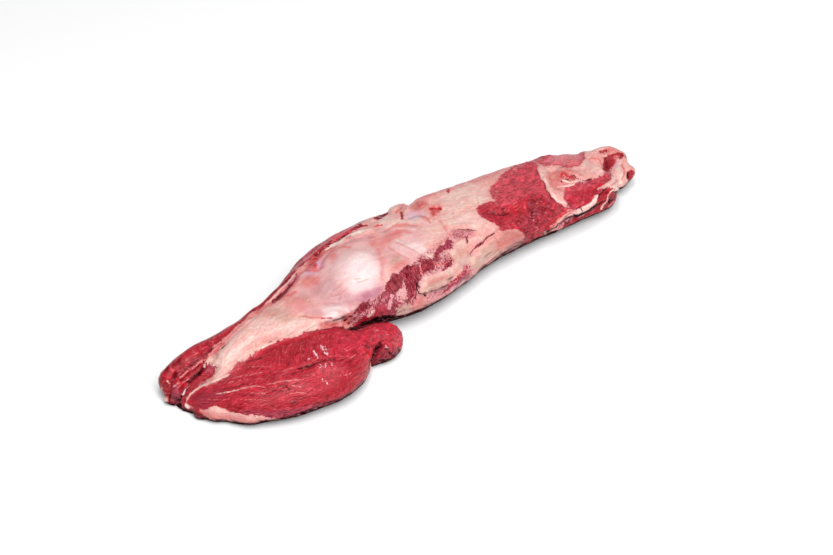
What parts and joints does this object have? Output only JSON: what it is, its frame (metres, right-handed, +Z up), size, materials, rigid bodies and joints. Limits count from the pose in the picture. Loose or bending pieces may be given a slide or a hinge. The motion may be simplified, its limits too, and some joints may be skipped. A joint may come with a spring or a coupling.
{
  "type": "raw beef tenderloin",
  "caption": "Whole untrimmed raw beef tenderloin with side muscle, fat cover, silver skin and folded tail, lying flat on its underside as food for a kitchen, shop or cold store.",
  "frame": {"origin": "middle of the bounding box in plan, on the surface that the meat lies on", "axes": "+X along the meat from the thick head end to the tail, +Y across it away from the side muscle, +Z up"},
  "size_m": [0.5882, 0.1764, 0.0657],
  "materials": {
    "raw_meat": "moist raw muscle, deep red, with cream and pink fat and pearly silver skin"
  },
  "bodies": {
    "root": {"tenderloin": "raw_meat"}
  },
  "joints": []
}
